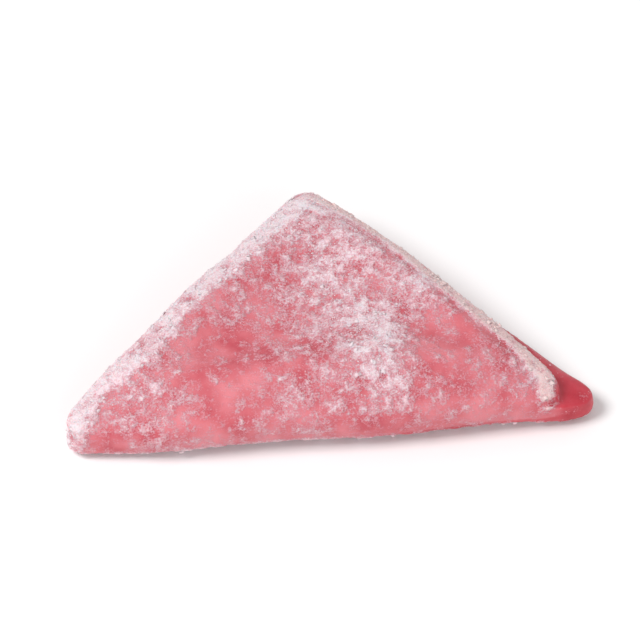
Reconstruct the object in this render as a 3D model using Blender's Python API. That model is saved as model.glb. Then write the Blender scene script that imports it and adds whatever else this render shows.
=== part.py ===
# Rose Turkish delight, one folded piece: a sheet of starch jelly, cut square and folded corner to
# corner, so that it lies as a thick right-angled triangle. The long edge is the fold and is round.
# The two short edges are cut: they show both leaves of the sheet, with the seam between them.
# Axes: X along the fold, +Y towards the right-angled corner, Z up. The origin is at the middle of
# the bottom. Units are metres.

import math

import bmesh
import bpy
from mathutils import Vector, geometry, noise

# Driving dimensions
FOLD_LENGTH = 0.054  # tip to tip along the folded edge
TIP_ANGLE = math.radians(45.0)  # a square folded corner to corner
SHEET_THICKNESS = 0.0042  # one leaf of the folded sheet
CORNER_RADIUS = 0.0016  # round of the three corners, in plan
TOP_ROUND = 0.0020  # height of the soft round at the upper edges
BOTTOM_ROUND = 0.0012  # height of the round where the piece has settled on its base

# Fold and seam
FOLD_BULGE = 0.0016  # how far the round back of the fold stands out at mid height
FOLD_DROP = 0.0017  # the upper face rounds down into the fold by this much
FOLD_DROP_WIDTH = 0.0034
FOLD_LIFT = 0.0006  # the base rounds up into the fold
FOLD_LIFT_WIDTH = 0.0050
FOLD_FACING = (0.35, 0.95)  # from where a side that turns towards -Y counts as the fold's back
FOLD_CROWN = 3.0  # power: the fold's bulge dies out towards the tips
TIP_PRESS = 0.27  # share of the height that the folding hand took off the two tips
TIP_PRESS_LENGTH = 0.0085
LEAF_BULGE = 0.0004  # crown of each leaf's cut edge
SEAM_DEPTH = 0.0009  # depth of the groove where the leaves meet
SEAM_HALF_WIDTH = 0.00036
SEAM_WAVER = 0.00024  # how far the seam rises and falls along the cut edges
SEAM_WAVES = ((0.0075, 0.6, 1.0), (0.0038, 2.0, 0.6))  # spacing, start and strength of each wave
LIP_REACH = 0.0036  # the lower leaf shows past the upper one at the right tip
OVERHANG_REACH = 0.0011  # the upper leaf reaches past the lower one on the left
LIP_ALONG = (0.1, 0.9)  # shares of the half length between which the lip grows
OVERHANG_ALONG = (0.0, 0.4)  # shares over which the overhang grows, then dies out again
OVERHANG_END = (1.0, 0.7)
LEAF_SHIFT_FADE = 0.0080  # width over which a leaf's sideways shift dies out
POCKET_DEPTH = 0.0013  # hollow left inside the fold, open at the two tips
POCKET_HALF_LENGTH = 0.0026
POCKET_HALF_HEIGHT = 0.0009
POCKET_FROM_TIP = {"left": 0.0085, "right": 0.0056}
SEAM_FROM_TIP = 0.0065  # the leaves are pressed together over this length at each tip

# Upper face
RIM_HEIGHT = 0.00050  # the leaf's margin is a little thicker than its middle
RIM_INSET = 0.0036
RIM_WIDTH = 0.0018
EDGE_DROP = 0.0006  # the leaf thins towards its cut edges
EDGE_DROP_WIDTH = 0.0020
DISH_DEPTH = 0.0009  # sunken middle
DISH_FADE = 0.0070
DISH_SOFTNESS = 0.0016  # rounds the corners of the sunken part
THUMB_DEPTH = 0.0007  # two shallow dents left by the folding hand
THUMB_RADIUS = (0.0075, 0.0048)
THUMB_CENTRES = ((-0.0135, 0.0070), (0.0140, 0.0066))  # from the middle of the fold

# Unevenness of a soft, hand-folded piece
WOBBLE_SIZE = 0.011
WOBBLE_SIDE = 0.00042
WOBBLE_TOP = 0.00034
WOBBLE_TOP_START = Vector((7.3, 1.9, 4.1))  # reads the noise elsewhere than the sides do
SETTLE_SPREAD = 0.0004  # the foot spreads a little under the weight
SETTLE_HEIGHT = 0.0022

# Mesh resolution
CELLS_ALONG_EDGE = 38
ROWS_UP_SIDE = 16
ROW_CROWDING = 1.5  # above 1, the rows crowd towards the seam

THICKNESS = 2.0 * SHEET_THICKNESS
MID_HEIGHT = 0.5 * THICKNESS
HALF_LENGTH = 0.5 * FOLD_LENGTH
ALMOST_NOTHING = 1e-6
JELLY_PINK = (0.716, 0.209, 0.235, 1.0)
JELLY_ROUGHNESS = 0.55


def smooth_step(low, high, value):
    t = min(1.0, max(0.0, (value - low) / (high - low)))
    return t * t * (3.0 - 2.0 * t)


def bell(distance, width):
    return math.exp(-((distance / width) ** 2))


def triangle_corners(inset):
    # Left tip, right tip and right-angled corner of the triangle, with its fold along y = 0.
    # Rounding takes CORNER_RADIUS * sqrt(2) off each tip, so the sharp triangle is longer.
    half = HALF_LENGTH + math.sqrt(2.0) * CORNER_RADIUS
    tip = half - inset / math.tan(0.5 * TIP_ANGLE)
    left = Vector((-tip, inset, 0.0))
    right = Vector((tip, inset, 0.0))
    corner = Vector((0.0, half - math.sqrt(2.0) * inset, 0.0))
    return left, right, corner


SHARP = triangle_corners(0.0)
CORE = triangle_corners(CORNER_RADIUS)
LEG_NORMALS = {
    "left": Vector((-1.0, 1.0)).normalized(),
    "right": Vector((1.0, 1.0)).normalized(),
}


def depth_from_leg(point, side):
    # How far inside the sharp outline a point lies, measured from one cut edge.
    return (SHARP[2] - point).to_2d().dot(LEG_NORMALS[side])


def seam_height(point):
    wave = sum(strength * math.sin(point.x / spacing + start) for spacing, start, strength in SEAM_WAVES)
    return MID_HEIGHT + SEAM_WAVER * wave


def lattice_prism():
    # A three-sided prism, cut into a fine lattice: the block that is then softened.
    bm = bmesh.new()
    bmesh.ops.create_cone(bm, cap_ends=True, segments=3, radius1=1.0, radius2=1.0, depth=THICKNESS)
    for level in (-1.0, 1.0):
        ring = [v for v in bm.verts if v.co.z * level > 0.0]
        ring.sort(key=lambda v: math.atan2(v.co.y, v.co.x))
        angles = [math.atan2(v.co.y, v.co.x) for v in ring]
        start = min(range(3), key=lambda i: abs(angles[i] - 0.5 * math.pi))
        for step, corner in enumerate((SHARP[2], SHARP[0], SHARP[1])):
            vert = ring[(start + step) % 3]
            vert.co.x = corner.x
            vert.co.y = corner.y
            vert.co.z = MID_HEIGHT + level * MID_HEIGHT
    upright = [e for e in bm.edges if abs(e.verts[0].co.z - e.verts[1].co.z) > MID_HEIGHT]
    bmesh.ops.subdivide_edges(bm, edges=upright, cuts=ROWS_UP_SIDE - 1, use_grid_fill=True)
    level_edges = [e for e in bm.edges if abs(e.verts[0].co.z - e.verts[1].co.z) < ALMOST_NOTHING]
    bmesh.ops.subdivide_edges(bm, edges=level_edges, cuts=CELLS_ALONG_EDGE - 1, use_grid_fill=True)
    for vert in bm.verts:
        t = vert.co.z / MID_HEIGHT - 1.0
        vert.co.z = MID_HEIGHT * (1.0 + math.copysign(abs(t) ** ROW_CROWDING, t))
    return bm


def soften(point):
    # Pulls a point of the sharp prism onto the rounded one. Returns its new place and the direction
    # that the surface faces there.
    rise = TOP_ROUND if point.z > MID_HEIGHT else BOTTOM_ROUND
    core_z = min(max(point.z, BOTTOM_ROUND), THICKNESS - TOP_ROUND)
    flat = Vector((point.x, point.y, 0.0))
    core = geometry.closest_point_on_tri(flat, *CORE)
    out = (flat - core) / CORNER_RADIUS
    facing = Vector((out.x, out.y, (point.z - core_z) / rise)).normalized()
    place = Vector((core.x, core.y, core_z))
    place.x += CORNER_RADIUS * facing.x
    place.y += CORNER_RADIUS * facing.y
    place.z += rise * facing.z
    return place, facing


def side_relief(place, facing):
    # The round back of the fold, the crowned leaf edges, the seam groove and the fold's open ends.
    outward = Vector((facing.x, facing.y))
    sideness = outward.length
    if sideness < ALMOST_NOTHING:
        return Vector((0.0, 0.0, 0.0))
    outward.normalize()
    fold = smooth_step(*FOLD_FACING, -outward.y)
    up = place.z / THICKNESS
    crown = 1.0 - min(1.0, abs(place.x) / HALF_LENGTH) ** FOLD_CROWN
    relief = fold * crown * FOLD_BULGE * (1.0 - (2.0 * up - 1.0) ** 2)
    above_seam = place.z - seam_height(place)
    side, tip = ("left", CORE[0]) if place.x < 0.0 else ("right", CORE[1])
    from_tip = (place - tip).to_2d().length
    crowned = LEAF_BULGE * math.sin(2.0 * math.pi * up) ** 2
    groove = SEAM_DEPTH * bell(above_seam, SEAM_HALF_WIDTH)
    from_pocket = from_tip - POCKET_FROM_TIP[side]
    pocket = bell(from_pocket, POCKET_HALF_LENGTH) * bell(above_seam, POCKET_HALF_HEIGHT)
    parted = (crowned - groove) * smooth_step(0.0, SEAM_FROM_TIP, from_tip)
    relief += (1.0 - fold) * (parted - POCKET_DEPTH * pocket)
    relief += SETTLE_SPREAD * math.exp(-place.z / SETTLE_HEIGHT)
    relief += WOBBLE_SIDE * noise.noise(place / WOBBLE_SIZE)
    push = outward * relief * sideness
    return Vector((push.x, push.y, 0.0))


def leaf_shift(place):
    # The leaves don't meet exactly: the lower one shows on the right, the upper one on the left.
    # Each shift runs along the fold, so the fold itself keeps its line.
    along = place.x / HALF_LENGTH
    upper = smooth_step(-SEAM_HALF_WIDTH, 2.0 * SEAM_HALF_WIDTH, place.z - seam_height(place))
    fade_right = 1.0 - smooth_step(0.0, LEAF_SHIFT_FADE, depth_from_leg(place, "right"))
    back = LIP_REACH * smooth_step(*LIP_ALONG, along) * fade_right * upper
    fade_left = 1.0 - smooth_step(0.0, LEAF_SHIFT_FADE, depth_from_leg(place, "left"))
    off_tip = smooth_step(*OVERHANG_ALONG, -along) * smooth_step(*OVERHANG_END, -along)
    forward = OVERHANG_REACH * off_tip * fade_left * (1.0 - upper)
    return Vector((forward - back, 0.0, 0.0))


def soft_least(values, softness):
    return -softness * math.log(sum(math.exp(-value / softness) for value in values))


def top_relief(place):
    from_legs = [depth_from_leg(place, "left"), depth_from_leg(place, "right")]
    from_leg = min(from_legs)
    inside = soft_least(from_legs + [place.y], DISH_SOFTNESS)
    height = RIM_HEIGHT * bell(inside - RIM_INSET, RIM_WIDTH)
    height -= EDGE_DROP * bell(max(0.0, from_leg), EDGE_DROP_WIDTH)
    height -= DISH_DEPTH * smooth_step(RIM_INSET, RIM_INSET + DISH_FADE, inside)
    for centre_x, centre_y in THUMB_CENTRES:
        across = (place.x - centre_x) / THUMB_RADIUS[0]
        along = (place.y - centre_y) / THUMB_RADIUS[1]
        height -= THUMB_DEPTH * math.exp(-(across * across + along * along))
    height += WOBBLE_TOP * noise.noise(place / WOBBLE_SIZE + WOBBLE_TOP_START)
    return height


def fold_round(place):
    # Squeezes the height towards the middle near the fold, so that the sheet's back is one round.
    if place.z > MID_HEIGHT:
        squeeze = FOLD_DROP * bell(max(0.0, place.y), FOLD_DROP_WIDTH)
    else:
        squeeze = FOLD_LIFT * (1.0 - smooth_step(0.0, FOLD_LIFT_WIDTH, place.y))
    return MID_HEIGHT + (place.z - MID_HEIGHT) * (1.0 - squeeze / MID_HEIGHT)


def tip_press(place):
    from_tip = min((place - CORE[0]).to_2d().length, (place - CORE[1]).to_2d().length)
    return 1.0 - TIP_PRESS * bell(from_tip, TIP_PRESS_LENGTH)


def shape_piece(bm):
    for vert in bm.verts:
        place, facing = soften(vert.co)
        moved = place + side_relief(place, facing) + leaf_shift(place)
        moved.z = fold_round(place) + top_relief(place) * max(0.0, facing.z)
        moved.z *= tip_press(place)
        vert.co = moved
    low = Vector([min(v.co[axis] for v in bm.verts) for axis in range(3)])
    high = Vector([max(v.co[axis] for v in bm.verts) for axis in range(3)])
    middle = (low + high) / 2.0
    for vert in bm.verts:
        vert.co -= Vector((middle.x, middle.y, low.z))
    bmesh.ops.recalc_face_normals(bm, faces=bm.faces)


def jelly_material():
    material = bpy.data.materials.new("rose_starch_jelly")
    material.use_nodes = True
    shader = material.node_tree.nodes["Principled BSDF"]
    shader.inputs["Base Color"].default_value = JELLY_PINK
    shader.inputs["Roughness"].default_value = JELLY_ROUGHNESS
    shader.inputs["Metallic"].default_value = 0.0
    material.diffuse_color = JELLY_PINK
    return material


def build():
    for existing in list(bpy.data.objects):
        bpy.data.objects.remove(existing, do_unlink=True)
    collection = bpy.data.collections.new("turkish_delight")
    bpy.context.scene.collection.children.link(collection)
    bm = lattice_prism()
    shape_piece(bm)
    mesh = bpy.data.meshes.new("turkish_delight")
    bm.to_mesh(mesh)
    bm.free()
    mesh.materials.append(jelly_material())
    mesh.shade_smooth()
    piece = bpy.data.objects.new("turkish_delight", mesh)
    collection.objects.link(piece)


build()
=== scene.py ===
import math

import bmesh
import bpy
import numpy as np
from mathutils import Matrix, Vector, noise
from mathutils.bvhtree import BVHTree
from mathutils.kdtree import KDTree


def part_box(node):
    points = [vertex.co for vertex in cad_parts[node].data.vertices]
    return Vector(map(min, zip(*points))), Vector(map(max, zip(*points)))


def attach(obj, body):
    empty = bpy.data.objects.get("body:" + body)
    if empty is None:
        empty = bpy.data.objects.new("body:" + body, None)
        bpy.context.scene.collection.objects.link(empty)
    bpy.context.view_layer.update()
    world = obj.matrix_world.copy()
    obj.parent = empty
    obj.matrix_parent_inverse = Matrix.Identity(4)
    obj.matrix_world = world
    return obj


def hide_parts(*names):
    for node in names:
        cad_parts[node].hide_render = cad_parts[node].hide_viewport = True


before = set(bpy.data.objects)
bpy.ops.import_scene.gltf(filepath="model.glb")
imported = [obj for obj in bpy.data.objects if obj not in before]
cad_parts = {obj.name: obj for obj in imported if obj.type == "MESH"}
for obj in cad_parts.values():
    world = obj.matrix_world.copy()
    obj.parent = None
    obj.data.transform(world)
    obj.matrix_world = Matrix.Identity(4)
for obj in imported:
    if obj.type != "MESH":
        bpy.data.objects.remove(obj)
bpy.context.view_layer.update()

low, high = [Vector(corner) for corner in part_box("turkish_delight")]
mm = 0.001
pieceLength = high.x - low.x
pieceDepth = high.y - low.y
pieceHeight = high.z - low.z
halfLength = pieceLength / 2.0
noiseMiddle = 0.5  # a noise node gives 0 to 1, so this makes it swing about 0


def hexColour(text):  # sRGB hex to linear RGBA
    parts = [int(text[i:i + 2], 16) / 255.0 for i in (1, 3, 5)]
    return [c / 12.92 if c <= 0.04045 else ((c + 0.055) / 1.055) ** 2.4 for c in parts] + [1.0]


def addNode(tree, kind, inputs=None, **settings):
    # An input is given by its name or number, and takes a value or the socket that feeds it.
    node = tree.nodes.new(kind)
    for name, value in settings.items():
        setattr(node, name, value)
    for name, value in (inputs or {}).items():
        if isinstance(value, bpy.types.NodeSocket):
            tree.links.new(value, node.inputs[name])
        else:
            node.inputs[name].default_value = value
    return node


def smoothStep(start, end, value):
    t = np.clip((value - start) / (end - start), 0.0, 1.0)
    return t * t * (3.0 - 2.0 * t)


def readPoints(mesh):
    flat = np.empty(len(mesh.vertices) * 3, dtype=np.float32)
    mesh.vertices.foreach_get("co", flat)
    return flat.reshape(-1, 3).astype(float)


def readNormals(mesh):
    flat = np.empty(len(mesh.vertices) * 3, dtype=np.float32)
    mesh.vertex_normals.foreach_get("vector", flat)
    return flat.reshape(-1, 3).astype(float)


noiseShape = {
    "fading": 0.8,  # how fast the finer octaves fade
    "gap": 2.0,  # how much finer each octave is than the one before
    "apart": ((1.0, 0.0), (0.7, 3.1), (1.3, -2.4)),  # start times the first, plus the second, on x, y and z
}


def noiseAt(points, facts):
    # About -1 to 1 at each point. The size is the spacing of the lumps, and start picks another pattern.
    offset = Vector([facts["start"] * times + plus for times, plus in noiseShape["apart"]])
    fading, gap, octaves = noiseShape["fading"], noiseShape["gap"], facts.get("octaves", 1)
    return np.array([noise.fractal(Vector(p) / facts["size"] + offset, fading, gap, octaves) for p in points])


def storeAttribute(mesh, name, values):
    layer = mesh.attributes.new(name, "FLOAT", "POINT")
    layer.data.foreach_set("value", values.astype(np.float32))


def plainObject(name, data):
    piece = bpy.data.objects.new(name, data)
    bpy.context.scene.collection.objects.link(piece)
    return piece


def bakeModifiers(piece):
    depsgraph = bpy.context.evaluated_depsgraph_get()
    mesh = bpy.data.meshes.new_from_object(piece.evaluated_get(depsgraph))
    piece.modifiers.clear()
    old = piece.data
    piece.data = mesh
    bpy.data.meshes.remove(old)


cameraSettings = {
    "turn": -5.8,  # degrees round from the fold's side, towards the left tip
    "rise": 47.0,
    "distance": 0.85,
    "fill": 0.82,  # share of the picture's width that the piece takes
    "aimUp": 0.40,  # share of the piece's height that the camera aims at
    "sensor": 36.0,
    "nearest": 0.01,  # where the view starts, in metres
}


def placeCamera():
    turn, rise = math.radians(cameraSettings["turn"]), math.radians(cameraSettings["rise"])
    away = Vector((math.sin(turn) * math.cos(rise), -math.cos(turn) * math.cos(rise), math.sin(rise)))
    aim = (low + high) / 2.0
    aim.z = low.z + pieceHeight * cameraSettings["aimUp"]
    data = bpy.data.cameras.new("camera")
    data.sensor_width = cameraSettings["sensor"]
    data.lens = data.sensor_width * cameraSettings["distance"] * cameraSettings["fill"] / pieceLength
    data.clip_start = cameraSettings["nearest"]
    camera = plainObject("camera", data)
    camera.location = aim + away * cameraSettings["distance"]
    camera.rotation_euler = (-away).to_track_quat("-Z", "Y").to_euler()
    bpy.context.scene.camera = camera
    print("camera: placed")


studio = {
    "sky": "#ffffff",
    "skyStrength": 0.52,
    "lamps": {
        "key": {"power": 3.9, "size": 0.34, "place": (-0.42, -0.10, 0.60)},
        "fill": {"power": 2.0, "size": 0.7, "place": (0.30, -0.75, 0.34)},
    },
    "floor": "#f7f6f6",
    "floorSize": 4.0,
    "floorRoughness": 0.9,
}


def lightStudio():
    scene = bpy.context.scene
    scene.view_settings.view_transform = "Standard"
    world = bpy.data.worlds.new("studio")
    world.use_nodes = True
    background = world.node_tree.nodes["Background"]
    background.inputs["Color"].default_value = hexColour(studio["sky"])
    background.inputs["Strength"].default_value = studio["skyStrength"]
    scene.world = world
    for name, lamp in studio["lamps"].items():
        data = bpy.data.lights.new(name, "AREA")
        data.shape = "DISK"
        data.size = lamp["size"]
        data.energy = lamp["power"]
        light = plainObject(name, data)
        light.location = lamp["place"]
        light.rotation_euler = (-Vector(lamp["place"])).to_track_quat("-Z", "Y").to_euler()
    print("studio: lit")


def layFloor():
    bm = bmesh.new()
    bmesh.ops.create_grid(bm, x_segments=1, y_segments=1, size=studio["floorSize"] / 2.0)
    mesh = bpy.data.meshes.new("floor")
    bm.to_mesh(mesh)
    bm.free()
    material = bpy.data.materials.new("matt white board")  # plain card: no gloss, no grain to see
    material.use_nodes = True
    shader = material.node_tree.nodes["Principled BSDF"]
    shader.inputs["Base Color"].default_value = hexColour(studio["floor"])
    shader.inputs["Roughness"].default_value = studio["floorRoughness"]
    mesh.materials.append(material)
    plainObject("floor", mesh)
    print("floor: laid")


jellyShape = {
    "weld": 0.001 * mm,  # joins the solid's loose triangles
    "voxel": 0.19 * mm,  # fine enough for the starch to stand up
    "smoothing": {"factor": 0.5, "times": 3},
    "sag": {"size": 8.0 * mm, "start": 11.0, "depth": 0.16 * mm},  # unevenness of a hand-folded sheet
    "pull": {"size": 3.2 * mm, "start": 17.0, "depth": 0.07 * mm},  # small puckers from the fingers
    "starchLift": {"depth": 0.07 * mm, "cover": (0.35, 0.85)},  # thickness of the caked starch
    "clotLift": {"depth": 0.17 * mm, "cover": (0.25, 0.95)},  # how far its clots stand up
    "footClear": (0.1 * mm, 1.2 * mm),  # the face that the piece rests on stays flat
}

# How much starch lies where, from 0, bare, to 1, caked. Places and heights are shares: x of half the
# length from the middle, y of the depth from the fold, height of the whole height. A pair is where a
# change starts and where it is whole.
starch = {
    "top": 0.45,
    "places": [
        {"at": (-0.44, 0.24), "reach": (0.32, 0.26), "more": -0.42},  # handled bare on the left
        {"at": (0.50, 0.22), "reach": (0.20, 0.20), "more": -0.38},  # and on the right
        {"at": (0.20, 0.24), "reach": (0.12, 0.20), "more": 0.46},  # caked down the middle
        {"at": (0.10, 0.54), "reach": (0.16, 0.20), "more": 0.24},
        {"at": (0.02, 0.82), "reach": (0.20, 0.14), "more": 0.12},  # and up to the corner
        {"at": (0.40, 0.50), "reach": (0.10, 0.08), "more": 0.34},
        {"at": (-0.68, 0.17), "reach": (0.11, 0.11), "more": 0.30},  # and near the left tip
        {"at": (0.00, 0.00), "reach": (1.20, 0.09), "more": -0.14},  # rubbed along the fold
    ],
    "least": 0.05,
    "leftRim": {"from": 4.8 * mm, "to": 3.2 * mm, "more": 0.58},  # distance in from the cut edge
    "rightRim": {"from": 2.8 * mm, "to": 1.7 * mm, "more": 0.72},
    "rimsMeet": (-0.04, 0.10),  # the left rim gives way to the right one here, round the corner
    "rimWaver": 0.8 * mm,
    # What counts as the upper leaf's cut face: how high up, how upright, and turned away from the fold.
    "cutFace": {"above": 0.52, "aboveAtTip": 0.40, "tip": (0.60, 0.85), "upright": 0.25, "back": -0.3},
    "lip": {"more": -0.40, "height": (0.515, 0.47), "right": (0.0, 0.3),
            "up": (0.2, 0.6), "back": (-0.5, -0.2)},
    "side": 0.34,
    "fold": {"more": -0.18, "forward": (-0.3, -0.8)},  # the round back of the fold
    "leftNose": {"more": 0.50, "left": (-0.88, -0.97)},
    "leftNarrows": {"by": 1.8 * mm, "left": (-0.64, -0.88)},  # the left rim, on its way to the tip
    "rightTip": {"cover": 0.08, "right": (0.79, 0.90), "height": (0.57, 0.49)},  # wiped bare
    "sidePatch": {"size": 3.5 * mm, "start": 5.0, "depth": 0.20},
    "under": 0.66,
    "facesUp": (0.20, 0.75),
    "facesDown": (-0.3, -0.8),
    "blotch": {"size": 5.5 * mm, "start": 1.0, "octaves": 3, "depth": 0.16},
    "clot": {"size": 1.15 * mm, "start": 23.0, "octaves": 3, "depth": 0.42},
    "clotChance": {"cover": (0.50, 1.05), "clot": 0.35},
    "grainChance": {"cover": (0.05, 0.80), "clot": 0.25},
    "crumbsAbove": (0.5 * mm, 1.0 * mm),  # crumbs lie clear of what the piece rests on
    "crumbsShade": (0.35, 0.15),  # and stay out of the seam
}


def shareOf(points):
    x = points[:, 0] / halfLength
    y = (points[:, 1] - low.y) / pieceDepth
    z = (points[:, 2] - low.z) / pieceHeight
    return x, y, z


def lipMask(points, normals):
    # 1 on the lip: the lower leaf's upper face, where it shows past the upper leaf's right edge.
    x, _, z = shareOf(points)
    facts = starch["lip"]
    facing = smoothStep(*facts["up"], normals[:, 2]) * smoothStep(*facts["back"], normals[:, 1])
    return facing * smoothStep(*facts["height"], z) * smoothStep(*facts["right"], x)


def tipMask(points):
    # 1 on the end of the lower leaf, which sticks out past the upper leaf at the right tip.
    x, _, z = shareOf(points)
    return smoothStep(*starch["rightTip"]["right"], x) * smoothStep(*starch["rightTip"]["height"], z)


def distanceIn(points, normals):
    # How far each point lies from the upper leaf's cut edges, which are its high and upright faces.
    x, _, z = shareOf(points)
    facts = starch["cutFace"]
    above = facts["above"] + (facts["aboveAtTip"] - facts["above"]) * smoothStep(*facts["tip"], np.abs(x))
    cut = (z > above) & (np.abs(normals[:, 2]) < facts["upright"]) & (normals[:, 1] > facts["back"])
    edge = points[cut]
    tree = KDTree(len(edge))
    for i, point in enumerate(edge):
        tree.insert(point, i)
    tree.balance()
    return np.array([tree.find(point)[2] for point in points])


def starchCover(points, normals):
    # How thickly each point is dusted, and where the powdered ridge along the right edge gets a painted
    # highlight, a warm pale tint.
    x, y, _ = shareOf(points)
    top = np.full(len(points), starch["top"])
    for place in starch["places"]:
        across = (x - place["at"][0]) / place["reach"][0]
        along = (y - place["at"][1]) / place["reach"][1]
        top += place["more"] * np.exp(-(across ** 2 + along ** 2))
    blotch = noiseAt(points, starch["blotch"])
    inward = distanceIn(points, normals) + starch["rimWaver"] * blotch
    inward += starch["leftNarrows"]["by"] * smoothStep(*starch["leftNarrows"]["left"], x)
    right = smoothStep(*starch["rimsMeet"], x)
    ridges = {}
    for rim, here in (("leftRim", 1.0 - right), ("rightRim", right)):
        facts = starch[rim]
        ridges[rim] = here * smoothStep(facts["from"], facts["to"], inward)
        top += facts["more"] * ridges[rim]
    lip = lipMask(points, normals)
    top = top * (1.0 - lip) + (starch["top"] + starch["lip"]["more"]) * lip
    side = starch["side"] + starch["sidePatch"]["depth"] * noiseAt(points, starch["sidePatch"])
    side += starch["leftNose"]["more"] * smoothStep(*starch["leftNose"]["left"], x)
    side += starch["fold"]["more"] * smoothStep(*starch["fold"]["forward"], normals[:, 1])
    up = smoothStep(*starch["facesUp"], normals[:, 2])
    down = smoothStep(*starch["facesDown"], normals[:, 2])
    cover = top * up + side * (1.0 - up)
    cover = cover * (1.0 - down) + starch["under"] * down
    tip = tipMask(points) * (1.0 - down)
    cover = cover * (1.0 - tip) + starch["rightTip"]["cover"] * tip
    # painted highlight along the right rim's powdered ridge
    creamHighlight = ridges["rightRim"] * (1.0 - lip) * (1.0 - tip) * (1.0 - down)
    return np.clip(cover + starch["blotch"]["depth"] * blotch, starch["least"], 1.0), creamHighlight


seam = {
    "rays": 14,
    "reach": 2.5 * mm,
    "start": 0.05 * mm,
    "lip": 0.40,  # painted shade: the bare lip and tip of the lower leaf are painted as dark a red as the seam's mouth
    # painted shade along the foot of the fold, on the right
    "foot": {"more": 0.42, "height": (2.3 * mm, 1.5 * mm), "right": (-0.1, 0.4), "forward": (-0.3, -0.6)},
}


def seamShade(points, normals, mesh):
    # The share of rays from each point that meet the piece: high in the seam and the fold's open ends.
    tree = BVHTree.FromPolygons([v.co for v in mesh.vertices], [p.vertices for p in mesh.polygons])
    golden = math.pi * (3.0 - math.sqrt(5.0))
    rays = []
    for i in range(seam["rays"]):
        z = 1.0 - (i + 0.5) / seam["rays"]
        r = math.sqrt(1.0 - z * z)
        rays.append((r * math.cos(i * golden), r * math.sin(i * golden), z))
    shade = np.zeros(len(points))
    for i, (point, facing) in enumerate(zip(points, normals)):
        normal = Vector(facing)
        side = normal.orthogonal().normalized()
        other = normal.cross(side)
        start = Vector(point) + normal * seam["start"]
        for across, along, out in rays:
            direction = side * across + other * along + normal * out
            if tree.ray_cast(start, direction, seam["reach"])[0] is not None:
                shade[i] += 1.0 / seam["rays"]
    return shade


def makeJelly():
    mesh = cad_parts["turkish_delight"].data.copy()
    bm = bmesh.new()
    bm.from_mesh(mesh)
    bmesh.ops.remove_doubles(bm, verts=bm.verts, dist=jellyShape["weld"])
    bm.to_mesh(mesh)
    bm.free()
    mesh.materials.clear()
    piece = plainObject("rose_jelly", mesh)
    rounding = piece.modifiers.new("rounding", "SUBSURF")
    rounding.levels = 1
    rounding.render_levels = 1
    remesh = piece.modifiers.new("remesh", "REMESH")
    remesh.mode = "VOXEL"
    remesh.voxel_size = jellyShape["voxel"]
    smooth = piece.modifiers.new("smooth", "SMOOTH")
    smooth.factor = jellyShape["smoothing"]["factor"]
    smooth.iterations = jellyShape["smoothing"]["times"]
    bakeModifiers(piece)
    mesh = piece.data
    points, normals = readPoints(mesh), readNormals(mesh)
    print("jelly: remeshed,", len(points), "points")

    offFloor = smoothStep(*jellyShape["footClear"], points[:, 2] - low.z)
    for wave in (jellyShape["sag"], jellyShape["pull"]):
        points += normals * (wave["depth"] * noiseAt(points, wave) * offFloor)[:, None]
    cover, creamHighlight = starchCover(points, normals)
    clot = noiseAt(points, starch["clot"])
    lift = np.zeros(len(points))
    for facts, depth in ((jellyShape["starchLift"], cover),
                         (jellyShape["clotLift"], cover + starch["clot"]["depth"] * clot)):
        lift += facts["depth"] * smoothStep(*facts["cover"], depth)
    points += normals * (lift * offFloor)[:, None]
    points[:, 2] = np.maximum(points[:, 2], low.z)
    mesh.vertices.foreach_set("co", points.astype(np.float32).ravel())
    mesh.update()
    print("jelly: starch laid on")

    normals = readNormals(mesh)
    shade = seamShade(points, normals, mesh)
    free = smoothStep(*starch["crumbsAbove"], points[:, 2] - low.z)
    free *= smoothStep(*starch["crumbsShade"], shade)
    # painted shade on the lower leaf's bare lip and tip
    shade = shade + seam["lip"] * np.maximum(lipMask(points, normals), tipMask(points))
    foot = seam["foot"]  # painted shade: a dark red line along the foot of the fold, on the right, where the rounded bottom edge turns under
    shade += (foot["more"] * smoothStep(*foot["height"], points[:, 2] - low.z)
              * smoothStep(*foot["right"], points[:, 0] / halfLength)
              * smoothStep(*foot["forward"], normals[:, 1]))
    storeAttribute(mesh, "starchCover", cover)
    storeAttribute(mesh, "starchClot", clot)
    # seamShade is painted as a darker red in the colour, and also keeps the starch out of the seam
    storeAttribute(mesh, "seamShade", shade)
    storeAttribute(mesh, "creamHighlightEdge", creamHighlight)
    for name in ("clotChance", "grainChance"):
        facts = starch[name]
        storeAttribute(mesh, name, free * smoothStep(*facts["cover"], cover + facts["clot"] * clot))
    mesh.shade_smooth()
    mesh.materials.append(jellyMaterial())
    print("jelly:", len(mesh.polygons), "faces")
    return piece


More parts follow.
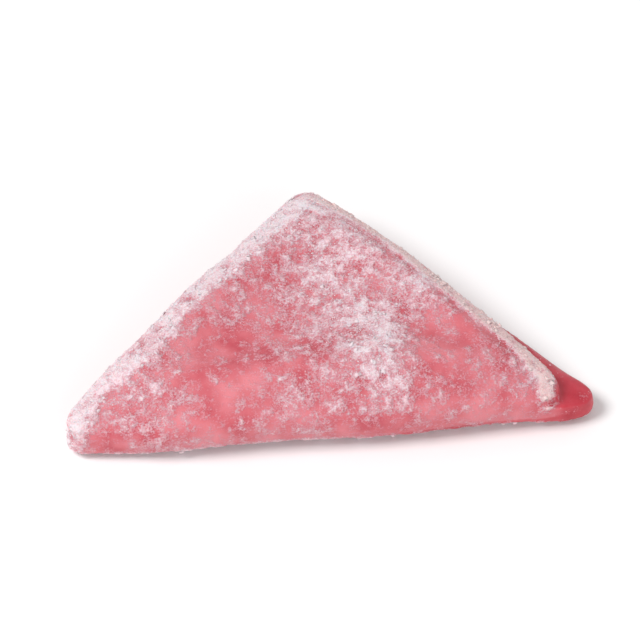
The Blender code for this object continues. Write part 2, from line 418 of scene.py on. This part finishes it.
jellyLook = {
    "bare": "#c4525e",
    "bareLight": "#dd818a",
    # painted shade: the darker reds laid on where seamShade is high, in the seam, on the lip and tip and
    # along the right foot
    "shadeRed": "#b32a3b",
    "shadeRedPale": "#d2505d",
    "veil": "#da96a1",
    "dust": "#e3bfc7",
    "caked": "#efdde2",
    # painted highlight: the warm pale tint on the right edge's powdered ridge
    "creamHighlight": "#f2c4be",
    "tone": {"size": 3.4 * mm, "detail": 4.0, "range": (0.35, 0.65)},
    "patch": {"size": 1.9 * mm, "detail": 4.0, "roughness": 0.62, "depth": 0.95},
    "speck": {"size": 0.75 * mm, "detail": 4.0, "roughness": 0.68, "depth": 1.45},
    "grain": {"size": 0.14 * mm, "depth": 0.60},  # a grain of starch is 0.015 mm, too fine to show
    "clotDepth": 0.36,
    "creamHighlightDepth": 0.50,
    "seamBare": -0.8,  # starch doesn't reach into the seam
    "veilRange": (0.02, 0.50),
    "dustRange": (0.34, 0.80),
    "cakedRange": (0.78, 1.20),
    "shadeRedRange": (0.10, 0.45),
    "bareRoughness": 0.42,  # moist jelly has a soft sheen
    "dustRoughness": 0.90,
    "veilHeight": 0.5,  # share of the bump that a thin veil of starch gives
    "bumpDistance": 0.14 * mm,
    "scatter": 0.45,
    "scatterReach": (1.0, 0.32, 0.26),  # red light goes furthest through rose jelly
    "lightDepth": 1.4 * mm,
    "ior": 1.45,  # a sugar syrup gel
}


def jellyMaterial():
    # Rose starch jelly, cooked, rolled out in starch and folded by hand: soft pink and a little
    # see-through where it is bare, matt and mottled white where starch and icing sugar cling.
    look = jellyLook
    material = bpy.data.materials.new("dusted rose starch jelly")
    material.use_nodes = True
    tree = material.node_tree
    shader = tree.nodes["Principled BSDF"]
    place = addNode(tree, "ShaderNodeTexCoord").outputs["Object"]
    cover, clot, shade, edge = [addNode(tree, "ShaderNodeAttribute", attribute_name=name).outputs["Fac"]
                                for name in ("starchCover", "starchClot", "seamShade", "creamHighlightEdge")]

    # How much starch lies at a point: what the piece's attributes give, broken up by finer noise.
    amount = addNode(tree, "ShaderNodeMath", {0: clot, 1: look["clotDepth"], 2: cover},
                     operation="MULTIPLY_ADD")
    amount = addNode(tree, "ShaderNodeMath", {0: shade, 1: look["seamBare"], 2: amount.outputs[0]},
                     operation="MULTIPLY_ADD")
    patch, speck = [addNode(tree, "ShaderNodeTexNoise", {"Vector": place, "Scale": 1.0 / look[name]["size"],
                                                         "Detail": look[name]["detail"],
                                                         "Roughness": look[name]["roughness"]}).outputs["Fac"]
                    for name in ("patch", "speck")]
    cells = addNode(tree, "ShaderNodeTexVoronoi", {"Vector": place, "Scale": 1.0 / look["grain"]["size"]})
    grain = addNode(tree, "ShaderNodeSeparateColor", {"Color": cells.outputs["Color"]}).outputs["Red"]
    for name, pattern in (("patch", patch), ("speck", speck), ("grain", grain)):
        centred = addNode(tree, "ShaderNodeMath", {0: pattern, 1: noiseMiddle}, operation="SUBTRACT")
        amount = addNode(tree, "ShaderNodeMath", {0: centred.outputs[0], 1: look[name]["depth"],
                                                  2: amount.outputs[0]}, operation="MULTIPLY_ADD")
    toneNoise = addNode(tree, "ShaderNodeTexNoise", {"Vector": place, "Scale": 1.0 / look["tone"]["size"],
                                                     "Detail": look["tone"]["detail"]}).outputs["Fac"]
    tone, shadeRed, veil, dust, caked = [
        addNode(tree, "ShaderNodeMapRange", {"Value": value, "From Min": ends[0], "From Max": ends[1]},
                interpolation_type=ease).outputs["Result"]
        for value, ends, ease in ((toneNoise, look["tone"]["range"], "LINEAR"),
                                  (shade, look["shadeRedRange"], "SMOOTHSTEP"),
                                  (amount.outputs[0], look["veilRange"], "SMOOTHSTEP"),
                                  (amount.outputs[0], look["dustRange"], "SMOOTHSTEP"),
                                  (amount.outputs[0], look["cakedRange"], "SMOOTHSTEP"))]

    # Painted shade: the bare colour turns a darker red where seamShade is high.
    bare, shadedColour = [addNode(tree, "ShaderNodeMix", {0: tone, 6: hexColour(look[dark]),
                                                    7: hexColour(look[light])}, data_type="RGBA").outputs[2]
                    for dark, light in (("bare", "bareLight"), ("shadeRed", "shadeRedPale"))]
    colour = addNode(tree, "ShaderNodeMix", {0: shadeRed, 6: bare, 7: shadedColour}, data_type="RGBA").outputs[2]
    # Painted highlight: a warm pale tint where dust lies on the right ridge.
    highlightShare = addNode(tree, "ShaderNodeMath", {0: edge, 1: dust}, operation="MULTIPLY").outputs[0]
    highlightShare = addNode(tree, "ShaderNodeMath", {0: highlightShare, 1: look["creamHighlightDepth"]},
                     operation="MULTIPLY").outputs[0]
    for share, over in ((veil, "veil"), (dust, "dust"), (caked, "caked"), (highlightShare, "creamHighlight")):
        colour = addNode(tree, "ShaderNodeMix", {0: share, 6: colour, 7: hexColour(look[over])},
                         data_type="RGBA").outputs[2]
    tree.links.new(colour, shader.inputs["Base Color"])

    matt = addNode(tree, "ShaderNodeMapRange", {"Value": veil, "To Min": look["bareRoughness"],
                                                "To Max": look["dustRoughness"]})
    tree.links.new(matt.outputs["Result"], shader.inputs["Roughness"])
    rough = addNode(tree, "ShaderNodeMath", {0: grain, 1: speck}, operation="ADD")
    thin = addNode(tree, "ShaderNodeMath", {0: veil, 1: look["veilHeight"]}, operation="MULTIPLY")
    height = addNode(tree, "ShaderNodeMath", {0: dust, 1: rough.outputs[0], 2: thin.outputs[0]},
                     operation="MULTIPLY_ADD")
    bump = addNode(tree, "ShaderNodeBump", {"Height": height.outputs[0], "Strength": 1.0,
                                            "Distance": look["bumpDistance"]})
    tree.links.new(bump.outputs["Normal"], shader.inputs["Normal"])
    shader.inputs["Subsurface Weight"].default_value = look["scatter"]
    shader.inputs["Subsurface Radius"].default_value = look["scatterReach"]
    shader.inputs["Subsurface Scale"].default_value = look["lightDepth"]
    shader.inputs["IOR"].default_value = look["ior"]
    return material


# Loose lumps of starch, from specks to clots, and grains of icing sugar, which are drawn coarser than
# they are because the real ones are too fine to show. fewLarge is a power: the higher, the more are small.
crumbKinds = {
    "starch_clots": {"chance": "clotChance", "perSquareMm": 3.4, "smallest": 0.07 * mm, "largest": 0.34 * mm,
                     "fewLarge": 3.4, "flatness": 0.45, "roughness": 0.85, "tilt": 0.5, "rounding": 1,
                     "shapes": 8, "seed": 4},
    "sugar_grains": {"chance": "grainChance", "perSquareMm": 6.0, "smallest": 0.04 * mm, "largest": 0.11 * mm,
                     "fewLarge": 2.0, "flatness": 0.85, "roughness": 0.60, "tilt": 1.2, "rounding": 0,
                     "shapes": 6, "seed": 9},
}

# A lump is made about 2 units wide, so smallest and largest above are about half its width.
lumpShape = {
    "block": 1.9,
    "bumps": {"scale": 1.5, "detail": 2.0, "apart": 5.3},
    "push": 3.2,
    "thinnest": (0.65, 0.65, 0.80),
    "widest": (1.35, 1.35, 1.20),
}

crumbLook = {
    "damp": "#dfa8b2",  # thinly dusted places, where the jelly's syrup has soaked into the crumbs
    "dry": "#ecd9de",
    "creamHighlight": "#edcbc6",  # painted highlight on the ridge along the right edge
    "creamHighlightDepth": 0.70,
    "dampRange": (0.50, 1.15),
    "tint": {"size": 0.6 * mm, "depth": 0.8},
    "grit": {"size": 0.10 * mm, "detail": 3.0, "depth": 0.05 * mm},
    "roughness": 0.92,
    "scatter": 0.3,
    "scatterReach": (1.0, 0.7, 0.7),
    "lightDepth": 0.3 * mm,
}


def starchMaterial():
    # Maize starch and icing sugar, sifted on and clotted by the damp jelly: matt and off-white, and
    # pinker where the crumbs lie singly.
    look = crumbLook
    material = bpy.data.materials.new("clotted starch and icing sugar")
    material.use_nodes = True
    tree = material.node_tree
    shader = tree.nodes["Principled BSDF"]
    place = addNode(tree, "ShaderNodeTexCoord").outputs["Object"]
    cover, edge = [addNode(tree, "ShaderNodeAttribute", attribute_name=name).outputs["Fac"]
                   for name in ("starchCover", "creamHighlightEdge")]
    tint = addNode(tree, "ShaderNodeTexNoise", {"Vector": place, "Scale": 1.0 / look["tint"]["size"]})
    spread = addNode(tree, "ShaderNodeMath", {0: tint.outputs["Fac"], 1: look["tint"]["depth"], 2: cover},
                     operation="MULTIPLY_ADD")
    dry = addNode(tree, "ShaderNodeMapRange", {"Value": spread.outputs[0], "From Min": look["dampRange"][0],
                                               "From Max": look["dampRange"][1]})
    colour = addNode(tree, "ShaderNodeMix", {0: dry.outputs["Result"], 6: hexColour(look["damp"]),
                                             7: hexColour(look["dry"])}, data_type="RGBA").outputs[2]
    # Painted highlight: crumbs on the right ridge take the warm pale tint.
    highlightShare = addNode(tree, "ShaderNodeMath", {0: edge, 1: look["creamHighlightDepth"]},
                     operation="MULTIPLY").outputs[0]
    colour = addNode(tree, "ShaderNodeMix", {0: highlightShare, 6: colour, 7: hexColour(look["creamHighlight"])},
                     data_type="RGBA").outputs[2]
    tree.links.new(colour, shader.inputs["Base Color"])
    grit = addNode(tree, "ShaderNodeTexNoise", {"Vector": place, "Scale": 1.0 / look["grit"]["size"],
                                                "Detail": look["grit"]["detail"]})
    bump = addNode(tree, "ShaderNodeBump", {"Height": grit.outputs["Fac"], "Strength": 1.0,
                                            "Distance": look["grit"]["depth"]})
    tree.links.new(bump.outputs["Normal"], shader.inputs["Normal"])
    shader.inputs["Roughness"].default_value = look["roughness"]
    shader.inputs["Subsurface Weight"].default_value = look["scatter"]
    shader.inputs["Subsurface Radius"].default_value = look["scatterReach"]
    shader.inputs["Subsurface Scale"].default_value = look["lightDepth"]
    return material


def crumbTree(kind, facts, material):
    # Scatters rough lumps over the jelly, where the chance attribute lets them lie.
    tree = bpy.data.node_groups.new(kind, "GeometryNodeTree")
    tree.interface.new_socket("Geometry", in_out="INPUT", socket_type="NodeSocketGeometry")
    tree.interface.new_socket("Geometry", in_out="OUTPUT", socket_type="NodeSocketGeometry")
    sizes = {"Per square metre": facts["perSquareMm"] / mm ** 2, "Smallest": facts["smallest"],
             "Largest": facts["largest"], "Few large": facts["fewLarge"], "Flatness": facts["flatness"],
             "Roughness": facts["roughness"], "Tilt": facts["tilt"], "Seed": facts["seed"]}
    values = {}
    for name, value in sizes.items():
        socketType = "NodeSocketInt" if name == "Seed" else "NodeSocketFloat"
        values[tree.interface.new_socket(name, in_out="INPUT", socket_type=socketType).identifier] = value
    given = addNode(tree, "NodeGroupInput").outputs
    choiceSeed, sizeSeed, stretchSeed, turnSeed = [
        addNode(tree, "ShaderNodeMath", {0: given["Seed"], 1: step}, operation="ADD").outputs[0]
        for step in (1.0, 2.0, 3.0, 4.0)]

    chance = addNode(tree, "GeometryNodeInputNamedAttribute", {"Name": facts["chance"]}, data_type="FLOAT")
    density = addNode(tree, "ShaderNodeMath", {0: chance.outputs["Attribute"], 1: given["Per square metre"]},
                      operation="MULTIPLY")
    spots = addNode(tree, "GeometryNodeDistributePointsOnFaces",
                    {"Mesh": given["Geometry"], "Density": density.outputs[0], "Seed": given["Seed"]},
                    distribute_method="RANDOM")

    lumps = addNode(tree, "GeometryNodeJoinGeometry")
    push = addNode(tree, "ShaderNodeMath", {0: given["Roughness"], 1: lumpShape["push"]},
                   operation="MULTIPLY")
    for number in range(facts["shapes"]):
        if facts["rounding"]:
            block = addNode(tree, "GeometryNodeMeshCube", {"Size": [lumpShape["block"]] * 3})
            block = addNode(tree, "GeometryNodeSubdivisionSurface",
                            {"Mesh": block.outputs["Mesh"], "Level": facts["rounding"]})
        else:
            block = addNode(tree, "GeometryNodeMeshIcoSphere", {"Radius": 1.0, "Subdivisions": 1})
        bumps = addNode(tree, "ShaderNodeTexNoise",
                        {"W": lumpShape["bumps"]["apart"] * number, "Scale": lumpShape["bumps"]["scale"],
                         "Detail": lumpShape["bumps"]["detail"]}, noise_dimensions="4D")
        centred = addNode(tree, "ShaderNodeVectorMath", {0: bumps.outputs["Color"], 1: [noiseMiddle] * 3},
                          operation="SUBTRACT")
        offset = addNode(tree, "ShaderNodeVectorMath", {0: centred.outputs[0], "Scale": push.outputs[0]},
                         operation="SCALE")
        lump = addNode(tree, "GeometryNodeSetPosition",
                       {"Geometry": block.outputs["Mesh"], "Offset": offset.outputs[0]})
        single = addNode(tree, "GeometryNodeGeometryToInstance", {"Geometry": lump.outputs["Geometry"]})
        tree.links.new(single.outputs["Instances"], lumps.inputs["Geometry"])

    chosen = addNode(tree, "FunctionNodeRandomValue", {4: 0, 5: facts["shapes"] - 1, "Seed": choiceSeed},
                     data_type="INT").outputs[2]
    share = addNode(tree, "FunctionNodeRandomValue", {2: 0.0, 3: 1.0, "Seed": sizeSeed},
                    data_type="FLOAT").outputs[1]
    share = addNode(tree, "ShaderNodeMath", {0: share, 1: given["Few large"]}, operation="POWER").outputs[0]
    size = addNode(tree, "ShaderNodeMapRange", {"Value": share, "To Min": given["Smallest"],
                                                "To Max": given["Largest"]}).outputs["Result"]
    stretch = addNode(tree, "FunctionNodeRandomValue",
                      {0: lumpShape["thinnest"], 1: lumpShape["widest"], "Seed": stretchSeed},
                      data_type="FLOAT_VECTOR").outputs[0]
    flat = addNode(tree, "ShaderNodeCombineXYZ", {0: 1.0, 1: 1.0, 2: given["Flatness"]}).outputs[0]
    scale = addNode(tree, "ShaderNodeVectorMath", {0: stretch, 1: flat}, operation="MULTIPLY").outputs[0]
    scale = addNode(tree, "ShaderNodeVectorMath", {0: scale, "Scale": size}, operation="SCALE").outputs[0]
    tiltBack = addNode(tree, "ShaderNodeMath", {0: given["Tilt"], 1: -1.0}, operation="MULTIPLY").outputs[0]
    least = addNode(tree, "ShaderNodeCombineXYZ", {0: tiltBack, 1: tiltBack, 2: 0.0}).outputs[0]
    most = addNode(tree, "ShaderNodeCombineXYZ",
                   {0: given["Tilt"], 1: given["Tilt"], 2: 2.0 * math.pi}).outputs[0]
    turn = addNode(tree, "FunctionNodeRandomValue", {0: least, 1: most, "Seed": turnSeed},
                   data_type="FLOAT_VECTOR").outputs[0]
    turned = addNode(tree, "FunctionNodeRotateRotation",
                     {"Rotation": spots.outputs["Rotation"], "Rotate By": turn},
                     rotation_space="LOCAL").outputs[0]
    spread = addNode(tree, "GeometryNodeInstanceOnPoints",
                     {"Points": spots.outputs["Points"], "Instance": lumps.outputs["Geometry"],
                      "Pick Instance": True, "Instance Index": chosen, "Rotation": turned, "Scale": scale})
    real = addNode(tree, "GeometryNodeRealizeInstances", {"Geometry": spread.outputs["Instances"]})
    dressed = addNode(tree, "GeometryNodeSetMaterial",
                      {"Geometry": real.outputs["Geometry"], "Material": material})
    addNode(tree, "NodeGroupOutput", {"Geometry": dressed.outputs["Geometry"]})
    return tree, values


def scatterCrumbs(jelly):
    material = starchMaterial()
    for kind, facts in crumbKinds.items():
        tree, values = crumbTree(kind, facts, material)
        piece = plainObject(kind, jelly.data.copy())
        scatter = piece.modifiers.new("scatter", "NODES")
        scatter.node_group = tree
        for identifier, value in values.items():
            scatter[identifier] = value
        bakeModifiers(piece)
        if facts["rounding"]:
            piece.data.shade_smooth()
        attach(piece, "root")
        triangles = sum(len(face.vertices) - 2 for face in piece.data.polygons)
        print(kind + ":", triangles, "triangles")


jelly = makeJelly()
scatterCrumbs(jelly)
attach(jelly, "root")
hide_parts("turkish_delight")
layFloor()
lightStudio()
placeCamera()
